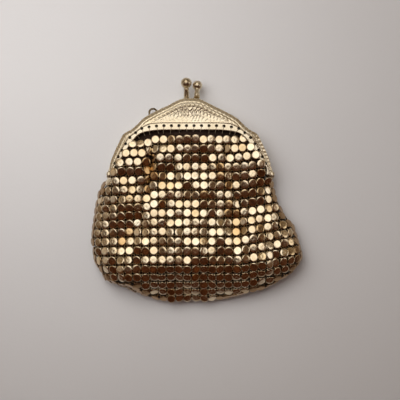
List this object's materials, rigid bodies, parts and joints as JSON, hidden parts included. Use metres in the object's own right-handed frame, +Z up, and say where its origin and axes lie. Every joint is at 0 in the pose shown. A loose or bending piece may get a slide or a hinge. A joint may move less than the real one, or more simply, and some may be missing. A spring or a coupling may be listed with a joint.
{
  "type": "metal mesh coin purse",
  "caption": "Small evening coin purse of gold metal disc mesh on a stamped, arched hinged frame, closed by a two-ball snap clasp.",
  "frame": {"origin": "on the surface that the purse lies on, under the middle of its bounding box", "axes": "+X along the frame, +Y from the pouch towards the clasp, +Z up through the purse's thickness"},
  "size_m": [0.0874, 0.0916, 0.0134],
  "materials": {
    "frame_brass": "polished, pale gold, stamped",
    "worn_brass": "darkened brass",
    "disc_mesh": "polished gold discs on rings",
    "lining": "dark brown cloth",
    "thread": "dark brown sewing thread"
  },
  "bodies": {
    "root": {"back_frame": "frame_brass", "stitching_back": "thread", "hinge_rivet_left": "frame_brass", "hinge_rivet_right": "frame_brass", "clasp_foot_back": "frame_brass", "clasp_stem_back": "frame_brass", "clasp_ball_back": "frame_brass", "chain_loop": "worn_brass", "mesh_back": "disc_mesh", "mesh_front_lower": "disc_mesh", "lining_back": "lining", "lining_front_lower": "lining"},
    "front_half": {"front_frame": "frame_brass", "stitching_front": "thread", "clasp_foot_front": "frame_brass", "clasp_stem_front": "frame_brass", "clasp_ball_front": "worn_brass", "mesh_front_upper": "disc_mesh", "lining_front_upper": "lining"}
  },
  "joints": [
    {"name": "frame_open", "type": "hinge", "parent": "root", "child": "front_half", "pos_m": [-0.0022, 0.0061, 0.00535], "axis": [1, 0, 0], "range_deg": [0, 80]}
  ]
}
